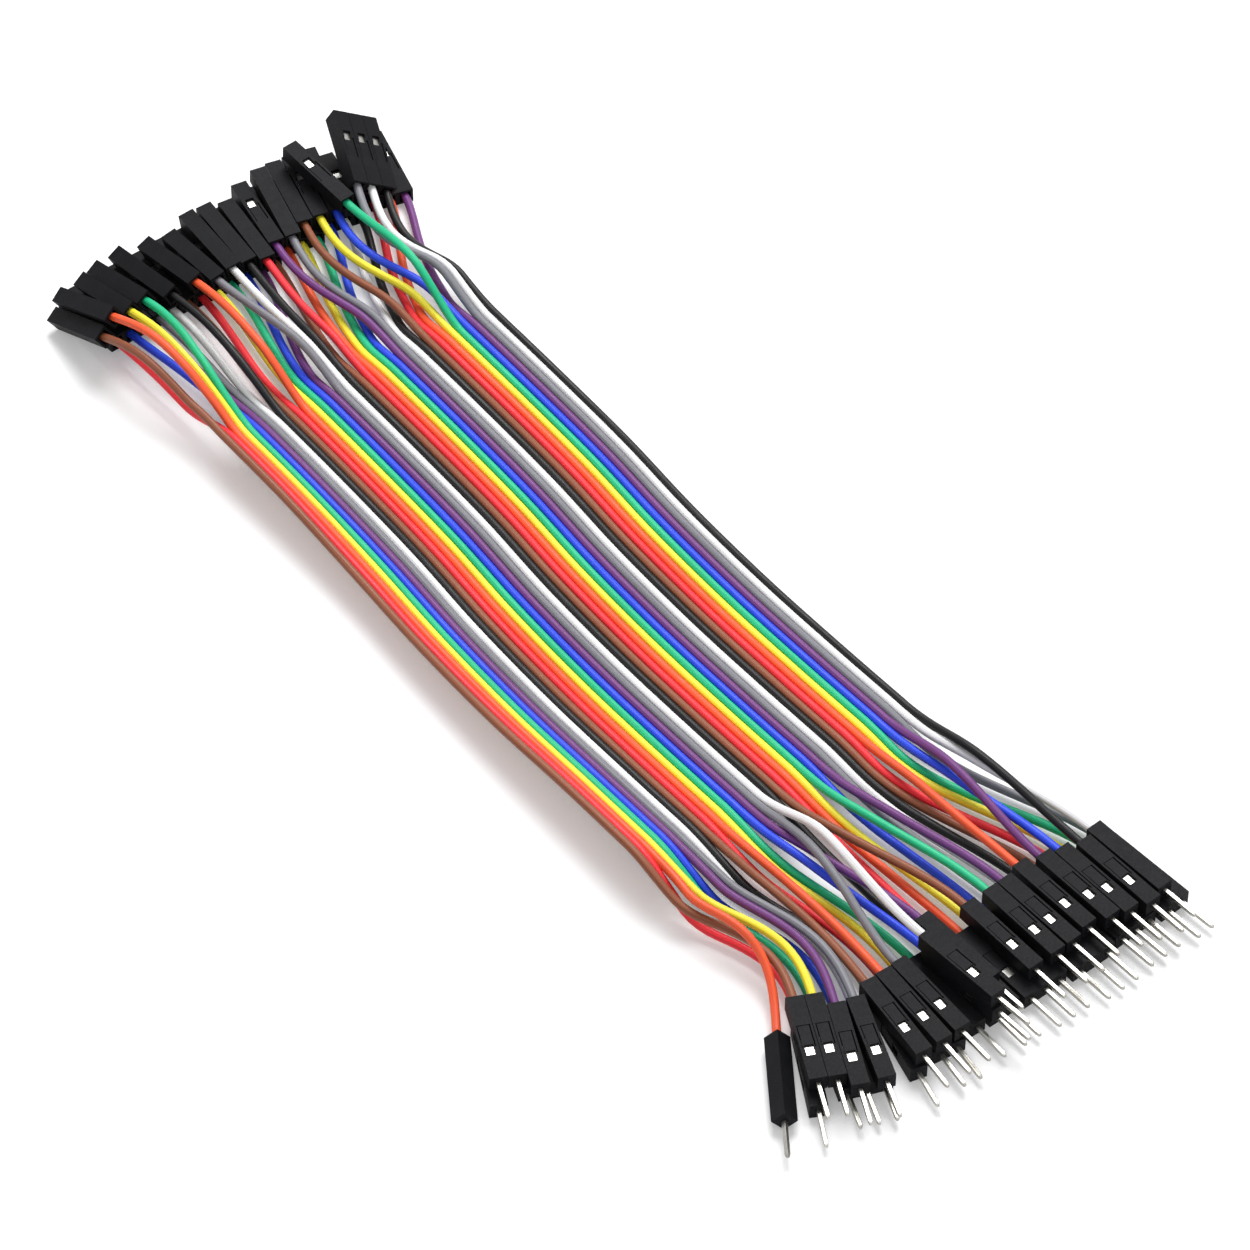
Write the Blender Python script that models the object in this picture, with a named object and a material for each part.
"""Forty-way ribbon of bonded jumper wires with a crimp housing on every wire end.

The wires run along X: single-way socket housings at the -X end and single-way
pin housings at the +X end.  Y runs across the ribbon and Z is up.  The bottom
rows of housings lie on the plane z = 0.  Lengths are in metres.
"""
import math

import bmesh
import bpy
from mathutils import Matrix, Vector

MM = 0.001

# Wires: moulded edge to edge, so the pitch is the insulation's diameter
WIRE_COUNT = 40
WIRE_DIAMETER = 1.27 * MM
WIRE_SIDES = 8

# Single-way crimp housing
HOUSING_LENGTH = 14.0 * MM
HOUSING_SIDE = 2.54 * MM
WIRE_HOLE_CLEARANCE = 0.25 * MM
WIRE_HOLE_DEPTH = 1.5 * MM
WIRE_END_GAP = 0.3 * MM
TONGUE_WIDTH = 1.9 * MM
TONGUE_START = 5.0 * MM
TONGUE_STEP = 0.2 * MM
WINDOW_LENGTH = 1.8 * MM
WINDOW_WIDTH = 1.3 * MM
WINDOW_DEPTH = 0.5 * MM
WINDOW_TO_FRONT = 3.9 * MM

# Crimp terminals: a square socket behind the front hole, or a square pin
SOCKET_SIDE = 0.9 * MM
SOCKET_DEPTH = 3.0 * MM
PIN_SIDE = 0.64 * MM
PIN_LENGTH = 6.0 * MM
PIN_TAPER = 0.8 * MM
PIN_ROOT = 0.5 * MM

# The housings are stacked in layers, with a hair's breadth between them
LAYER_GAP = 0.12 * MM
SIDE_GAP = 0.08 * MM
FLOOR_GAP = 0.02 * MM

# What brings the middle of all the housings over the origin
SHIFT_X = 0.285 * MM
SHIFT_Y = 1.053 * MM

# Along the ribbon: the bonded stretch and the usual X of the housings' rear ends
BOND_START = -54.0 * MM
BOND_LENGTH = 96.0 * MM
SOCKET_END = -84.5 * MM
PIN_END = 78.5 * MM

# The ribbon's route: share of the bonded stretch, Y and height of its middle
# in mm, and the angle to which its low-Y edge has curled up.
ROUTE = (
    (0.00, 1.2, 2.5, 27.0),
    (0.15, 1.3, 1.9, 27.0),
    (0.33, 1.0, 1.5, 24.0),
    (0.50, 0.0, 1.3, 26.0),
    (0.68, -0.5, 1.4, 28.0),
    (0.85, -0.5, 1.8, 31.0),
    (1.00, -0.4, 2.4, 30.0),
)
CURL_WIDTH = 19.0 * MM
TAIL_SHARES = (0.2, 0.4, 0.6, 0.8, 1.0)

# Rows of housings, from low Y to high Y.  A row starts at its first Y, in
# housing widths, and lies on its layer.  Each entry holds the wires, the gap
# before it and the offset of its rear end along X, both in mm, then yaw, pitch
# and roll in degrees.  Wires that share an entry have their housings side by
# side: fused in a floor row, separate in the others.
FEMALE_FLOOR = (-10.6, 0, (
    ((1,), 0.0, 2.2, -2.0, -24.0, 60.0),
    ((2, 6, 7), 0.4, 0.2, -1.0, -6.0, 0.0),
    ((8, 9, 11), 0.1, 0.0, 0.0, -5.0, 0.0),
    ((12, 14, 15), 0.1, -0.3, 2.0, -1.0, 0.0),
    ((16, 17, 21), 0.1, -0.6, 6.0, 0.0, 0.0),
    ((23, 24, 25), 0.1, -0.9, 10.0, 0.0, 0.0),
    ((26, 29, 30), 0.1, -0.9, 13.0, 0.0, 0.0),
    ((32, 33, 37), 0.1, -0.5, 16.0, 0.0, 0.0),
))
FEMALE_UPPER = (-9.75, 1, (
    ((3,), 0.0, 1.8, -5.0, -22.5, 60.0),
    ((4,), 0.3, 1.5, 0.0, -17.0, 60.0),
    ((5,), 0.2, 0.7, -1.0, -16.0, 62.0),
    ((10,), 1.9, 0.3, -3.0, -8.0, 66.0),
    ((13,), 1.1, 1.2, 0.0, -12.0, 70.0),
    ((18,), 0.7, 2.0, 2.0, -8.0, 80.0),
    ((19,), 1.3, -0.1, 4.0, -1.0, 84.0),
    ((20,), 0.05, 0.1, 5.5, 0.0, 86.0),
    ((22,), 0.05, 1.2, 8.0, 0.0, 90.0),
    ((27,), 0.05, -0.8, 11.0, 0.0, 0.0),
    ((28,), 0.2, -0.5, 13.0, 7.0, 180.0),
    ((31,), 0.1, -1.7, 15.0, 0.0, 180.0),
    ((34,), 0.1, -1.3, 15.5, 0.0, 0.0),
    ((36,), 0.1, -0.9, 17.0, 0.0, 180.0),
    ((38, 39, 40), 0.7, -0.4, 23.0, 9.0, 30.0),
))
FEMALE_TOP = (7.4, 2, (
    ((35,), 0.0, 0.5, -3.0, 5.0, 0.0),
))
MALE_FLOOR = (-11.38, 0, (
    ((3,), 0.0, -1.3, -35.0, 0.0, -135.0),
    ((2,), 0.1, -0.9, -29.0, 0.0, 90.0),
    ((5, 6, 9), 0.1, -0.5, -22.0, 0.0, 0.0),
    ((10,), 0.2, 1.1, -14.0, 0.0, 90.0),
    ((12, 14), 0.1, 0.5, -8.0, 0.0, 0.0),
    ((15,), 0.1, -0.3, -2.0, 0.0, 180.0),
    ((20, 22), 0.1, -0.1, 0.0, 0.0, 0.0),
    ((23, 24, 26), 0.1, 0.3, 1.0, 0.0, 0.0),
    ((28, 29, 30), 0.1, 0.8, 2.0, 0.0, 0.0),
    ((31, 32, 34), 0.1, 0.1, 3.0, 0.0, 0.0),
    ((35, 38), 0.1, 0.4, 4.0, 0.0, 0.0),
))
MALE_UPPER = (-9.29, 1, (
    ((1,), 0.0, -3.3, -26.0, 0.0, 0.0),
    ((4,), 0.0, -2.1, -26.0, 0.0, 0.0),
    ((7,), 0.0, 0.9, -26.0, 0.0, 0.0),
    ((8,), 0.1, 1.7, -22.0, 0.0, 0.0),
    ((11,), 0.2, 0.5, -7.0, 0.0, 0.0),
    ((13,), 0.1, 0.5, -4.0, 0.0, 0.0),
    ((18,), 0.1, 0.4, -2.0, 0.0, 0.0),
    ((16,), 2.1, 1.0, 3.0, 0.0, 90.0),
    ((17,), 0.3, -3.5, 3.0, 0.0, 180.0),
    ((21,), 3.7, -1.5, 1.0, 0.0, 0.0),
    ((25,), 1.4, -1.6, 1.0, 0.0, 0.0),
    ((27,), 0.1, -1.7, 2.0, 0.0, 0.0),
    ((33,), 0.8, -2.5, 2.0, 0.0, 0.0),
    ((37,), 0.9, -1.7, 2.0, 0.0, 0.0),
    ((36,), 0.1, -1.0, 2.0, 0.0, 0.0),
    ((40,), 0.6, -0.2, 2.0, 0.0, 0.0),
    ((39,), 0.2, -1.2, 3.0, 0.0, 180.0),
))
MALE_TOP = (-1.54, 2, (
    ((19,), 0.0, 0.5, 4.0, 0.0, 0.0),
))

# Shares of a tail: the rise ends, the way across begins, the straight way in begins
RISE_END = 0.45
SHIFT_FROM = 0.15
LEAD_FROM = 0.3

# Tails that pass over or under their neighbours on the way, and by how much in mm
FEMALE_LIFTS = {35: 2.0, 38: -0.5}
MALE_LIFTS = {3: 4.1, 18: 2.4, 19: 1.6, 37: 2.0, 40: 1.6}


def clear_scene():
    for old in list(bpy.data.objects):
        bpy.data.objects.remove(old, do_unlink=True)


def material(name, colour, roughness, metallic=0.0):
    made = bpy.data.materials.new(name)
    made.use_nodes = True
    shader = made.node_tree.nodes["Principled BSDF"]
    shader.inputs["Base Color"].default_value = (*colour, 1.0)
    shader.inputs["Roughness"].default_value = roughness
    shader.inputs["Metallic"].default_value = metallic
    return made


def box_mesh(name, low, high):
    """A box between two corners."""
    bm = bmesh.new()
    bmesh.ops.create_cube(bm, size=1.0)
    middle = (Vector(low) + Vector(high)) / 2.0
    spread = Vector(high) - Vector(low)
    bmesh.ops.scale(bm, vec=spread, verts=bm.verts)
    bmesh.ops.translate(bm, vec=middle, verts=bm.verts)
    mesh = bpy.data.meshes.new(name)
    bm.to_mesh(mesh)
    bm.free()
    return mesh


def cut_or_join(body, low, high, operation):
    """Adds or takes away a box with an exact Boolean."""
    tool = bpy.data.objects.new("tool", box_mesh("tool", low, high))
    bpy.context.collection.objects.link(tool)
    tool.hide_render = True
    tool.display_type = "WIRE"
    step = body.modifiers.new("step", "BOOLEAN")
    step.object = tool
    step.operation = operation
    step.solver = "EXACT"
    bpy.context.view_layer.update()
    graph = bpy.context.evaluated_depsgraph_get()
    result = bpy.data.meshes.new_from_object(body.evaluated_get(graph))
    body.modifiers.clear()
    body.data = result
    bpy.data.objects.remove(tool, do_unlink=True)


def connector_mesh(count, has_pin):
    """Housings side by side, rear end at x = 0 and mating end at +X."""
    half = HOUSING_SIDE / 2.0
    width = count * HOUSING_SIDE
    body = bpy.data.objects.new("body", box_mesh(
        "connector", (0.0, -width / 2.0, -half), (HOUSING_LENGTH, width / 2.0, half)))
    bpy.context.collection.objects.link(body)
    hole = WIRE_DIAMETER / 2.0 + WIRE_HOLE_CLEARANCE
    window_end = HOUSING_LENGTH - WINDOW_TO_FRONT
    window_start = window_end - WINDOW_LENGTH
    for place in range(count):
        y = (place - (count - 1) / 2.0) * HOUSING_SIDE
        cut_or_join(body, (-half, y - hole, -hole), (WIRE_HOLE_DEPTH, y + hole, hole), "DIFFERENCE")
        cut_or_join(body, (TONGUE_START, y - TONGUE_WIDTH / 2.0, half - TONGUE_STEP),
                    (window_end, y + TONGUE_WIDTH / 2.0, half + TONGUE_STEP), "DIFFERENCE")
        cut_or_join(body, (window_start, y - WINDOW_WIDTH / 2.0, half - WINDOW_DEPTH),
                    (window_end, y + WINDOW_WIDTH / 2.0, half + WINDOW_DEPTH), "DIFFERENCE")
        if has_pin:
            pin = PIN_SIDE / 2.0
            cut_or_join(body, (HOUSING_LENGTH - PIN_ROOT, y - pin, -pin),
                        (HOUSING_LENGTH + PIN_LENGTH, y + pin, pin), "UNION")
        else:
            socket = SOCKET_SIDE / 2.0
            cut_or_join(body, (HOUSING_LENGTH - SOCKET_DEPTH, y - socket, -socket),
                        (HOUSING_LENGTH + socket, y + socket, socket), "DIFFERENCE")
    mesh = body.data
    bpy.data.objects.remove(body, do_unlink=True)
    if has_pin:
        taper_pins(mesh)
    return mesh


def taper_pins(mesh):
    """Narrows the last stretch of each pin to half its side at the tip."""
    tip = HOUSING_LENGTH + PIN_LENGTH
    bm = bmesh.new()
    bm.from_mesh(mesh)
    bmesh.ops.bisect_plane(bm, geom=bm.verts[:] + bm.edges[:] + bm.faces[:],
                           plane_co=(tip - PIN_TAPER, 0.0, 0.0), plane_no=(1.0, 0.0, 0.0))
    for vertex in bm.verts:
        if vertex.co.x > tip - PIN_TAPER / 2.0:
            place = round(vertex.co.y / HOUSING_SIDE * 2.0) / 2.0 * HOUSING_SIDE
            vertex.co.y = place + (vertex.co.y - place) / 2.0
            vertex.co.z = vertex.co.z / 2.0
    bm.to_mesh(mesh)
    bm.free()


def place_row(row, female):
    """Walks along a row and yields each entry's wires and matrix."""
    row_start, layer, entries = row
    y = row_start * HOUSING_SIDE + SHIFT_Y
    end = SOCKET_END if female else PIN_END
    slide = 0.0
    last_x = None
    for wires, gap, offset, yaw, pitch, roll in entries:
        x = end + offset * MM + SHIFT_X
        turn_out = math.radians(yaw)
        tilt = math.radians(pitch)
        lean = math.radians((roll + 45.0) % 90.0 - 45.0)
        count = len(wires)
        half_side = HOUSING_SIDE / 2.0
        half_width = (count * (HOUSING_SIDE + SIDE_GAP)) / 2.0
        if last_x is not None:
            slide = (x - last_x) * math.tan(-turn_out if female else turn_out)
        reach = half_width * math.cos(lean) + half_side * abs(math.sin(lean)) * (count > 1)
        if count == 1:
            reach = half_width / math.cos(lean)
        y += gap * MM + reach / math.cos(turn_out) + slide
        below = half_side * math.cos(lean) + half_width * abs(math.sin(lean))
        lowest = below * math.cos(tilt) + max(0.0, -math.sin(tilt)) * HOUSING_LENGTH
        stack = layer * (HOUSING_SIDE + LAYER_GAP) / math.cos(tilt)
        heading = math.pi - turn_out if female else turn_out
        turn = (Matrix.Rotation(heading, 4, "Z") @ Matrix.Rotation(-tilt, 4, "Y")
                @ Matrix.Rotation(math.radians(roll), 4, "X"))
        yield wires, Matrix.Translation((x, y, FLOOR_GAP + lowest + stack)) @ turn
        y += reach / math.cos(turn_out)
        last_x = x


def wire_ends(wires, matrix, fused):
    """The rear-face centre, its matrix and the mating direction for each wire."""
    axis = (matrix.to_3x3() @ Vector((1.0, 0.0, 0.0))).normalized()
    if axis.x < 0.0:
        wires = tuple(reversed(wires))
    spacing = HOUSING_SIDE if fused else HOUSING_SIDE + SIDE_GAP
    for place, wire in enumerate(wires):
        offset = (place - (len(wires) - 1) / 2.0) * spacing
        yield wire, matrix @ Matrix.Translation((0.0, offset, 0.0)), axis


def profile(across, curl):
    """Point and direction of the ribbon's cross-section at a distance across."""
    bend = math.radians(curl)
    inner = WIRE_COUNT * WIRE_DIAMETER / 2.0 - CURL_WIDTH
    past = -inner - across
    if past <= 0.0:
        return Vector((0.0, across, 0.0)), Vector((0.0, 1.0, 0.0))
    radius = CURL_WIDTH / bend
    angle = past / radius
    point = Vector((0.0, -inner - radius * math.sin(angle), radius * (1.0 - math.cos(angle))))
    return point, Vector((0.0, math.cos(angle), -math.sin(angle)))


def ribbon_point(station, across):
    """A point of the bonded stretch, with the direction across and the normal."""
    share, y, z, curl = station
    x = BOND_START + share * BOND_LENGTH + SHIFT_X
    point, side = profile(across, curl)
    normal = Vector((0.0, -side.z, side.y))
    return point + Vector((x, y * MM + SHIFT_Y, z * MM)), side, normal


def ease(value):
    value = min(1.0, max(0.0, value))
    return value * value * (3.0 - 2.0 * value)


def tail_point(start, rear, axis, lift, share):
    """A wire's way from the split to its housing: first up or down, then across."""
    run = rear.x - start.x
    lead = axis * ((share - 1.0) * run / axis.x) * ease((share - LEAD_FROM) / (1.0 - LEAD_FROM))
    rise = ease(share / RISE_END)
    shift = ease((share - SHIFT_FROM) / (1.0 - SHIFT_FROM))
    hump = lift * MM * math.sin(math.pi * share) ** 2
    return Vector((start.x + run * share,
                   start.y + (rear.y - start.y) * shift + lead.y,
                   start.z + (rear.z - start.z) * rise + lead.z + hump))


def build_ribbon(ends, paint):
    """All the wires as one body: bonded in the middle, single at both ends."""
    bm = bmesh.new()
    half = WIRE_DIAMETER / 2.0
    web = half * math.tan(math.pi / WIRE_SIDES)
    stations = []
    for station in ROUTE:
        webs = []
        corners = []
        for edge in range(WIRE_COUNT + 1):
            point, side, normal = ribbon_point(station, (edge - WIRE_COUNT / 2.0) * WIRE_DIAMETER)
            webs.append((bm.verts.new(point + normal * web), bm.verts.new(point - normal * web)))
        for wire in range(WIRE_COUNT):
            across = (wire + 0.5 - WIRE_COUNT / 2.0) * WIRE_DIAMETER
            point, side, normal = ribbon_point(station, across)
            corners.append([bm.verts.new(point + side * web * a + normal * half * b)
                            for a, b in ((-1, 1), (1, 1), (1, -1), (-1, -1))])
        stations.append((webs, corners))

    def ring(station, wire):
        webs, corners = station
        top_left, top_right, low_right, low_left = corners[wire]
        return [webs[wire][0], top_left, top_right, webs[wire + 1][0],
                webs[wire + 1][1], low_right, low_left, webs[wire][1]]

    for near, far in zip(stations, stations[1:]):
        for wire in range(WIRE_COUNT):
            a = ring(near, wire)
            b = ring(far, wire)
            shown = [0, 1, 2, 4, 5, 6]
            if wire == WIRE_COUNT - 1:
                shown.append(3)
            if wire == 0:
                shown.append(7)
            for k in shown:
                bm.faces.new((a[k], a[(k + 1) % 8], b[(k + 1) % 8], b[k]))
    for wire in range(WIRE_COUNT):
        across = (wire + 0.5 - WIRE_COUNT / 2.0) * WIRE_DIAMETER
        for end, station, verts in ((0, ROUTE[0], stations[0]), (1, ROUTE[-1], stations[-1])):
            start, side, normal = ribbon_point(station, across)
            add_tail(bm, ring(verts, wire), start, side, *ends[end][wire + 1])
    bmesh.ops.recalc_face_normals(bm, faces=bm.faces)
    mesh = bpy.data.meshes.new("ribbon_cable")
    bm.to_mesh(mesh)
    bm.free()
    mesh.materials.append(paint)
    made = bpy.data.objects.new("ribbon_cable", mesh)
    bpy.context.collection.objects.link(made)


def add_tail(bm, first_ring, start, side, rear, axis, lift):
    """A single wire from the split, straight into the rear hole of its housing."""
    half = WIRE_DIAMETER / 2.0
    radius = half / math.cos(math.pi / WIRE_SIDES)
    path = [start]
    path += [tail_point(start, rear, axis, lift, share) for share in TAIL_SHARES]
    path.append(rear + axis * (WIRE_HOLE_DEPTH - WIRE_END_GAP))
    last = first_ring
    for index in range(1, len(path)):
        after = path[min(index + 1, len(path) - 1)]
        before = path[index - 1]
        along = axis if index >= len(TAIL_SHARES) else (after - before).normalized()
        right = (side - along * side.dot(along)).normalized()
        up = right.cross(along)
        if up.z < 0.0:
            up = -up
        now = []
        for k in range(WIRE_SIDES):
            angle = math.pi - (k + 0.5) * 2.0 * math.pi / WIRE_SIDES
            now.append(bm.verts.new(path[index] + right * radius * math.cos(angle)
                                    + up * radius * math.sin(angle)))
        for k in range(WIRE_SIDES):
            bm.faces.new((last[k], last[(k + 1) % WIRE_SIDES], now[(k + 1) % WIRE_SIDES], now[k]))
        last = now
    bm.faces.new(last)


def build_connectors(rows, female, lifts, paint):
    """One object for each housing or fused block; returns where each wire ends."""
    meshes = {}
    ends = {}
    kind = "socket_connector_" if female else "pin_connector_"
    for row in rows:
        fused = row[1] == 0
        for wires, matrix in place_row(row, female):
            singles = list(wire_ends(wires, matrix, fused))
            for wire, placed, axis in singles:
                ends[wire] = (placed.translation, axis, lifts.get(wire, 0.0))
            if fused:
                singles = [("_".join("%02d" % wire for wire in wires), matrix, axis)]
            count = len(wires) if fused else 1
            if count not in meshes:
                meshes[count] = connector_mesh(count, not female)
                meshes[count].materials.clear()
                meshes[count].materials.append(paint)
            for label, placed, axis in singles:
                name = kind + (label if fused else "%02d" % label)
                made = bpy.data.objects.new(name, meshes[count])
                made.matrix_world = placed
                bpy.context.collection.objects.link(made)
    return ends


def main():
    clear_scene()
    insulation = material("ribbon_insulation", (0.35, 0.2, 0.3), 0.45)
    housing = material("housing_black", (0.02, 0.02, 0.022), 0.5)
    female_rows = (FEMALE_FLOOR, FEMALE_UPPER, FEMALE_TOP)
    male_rows = (MALE_FLOOR, MALE_UPPER, MALE_TOP)
    female_ends = build_connectors(female_rows, True, FEMALE_LIFTS, housing)
    male_ends = build_connectors(male_rows, False, MALE_LIFTS, housing)
    build_ribbon((female_ends, male_ends), insulation)


main()
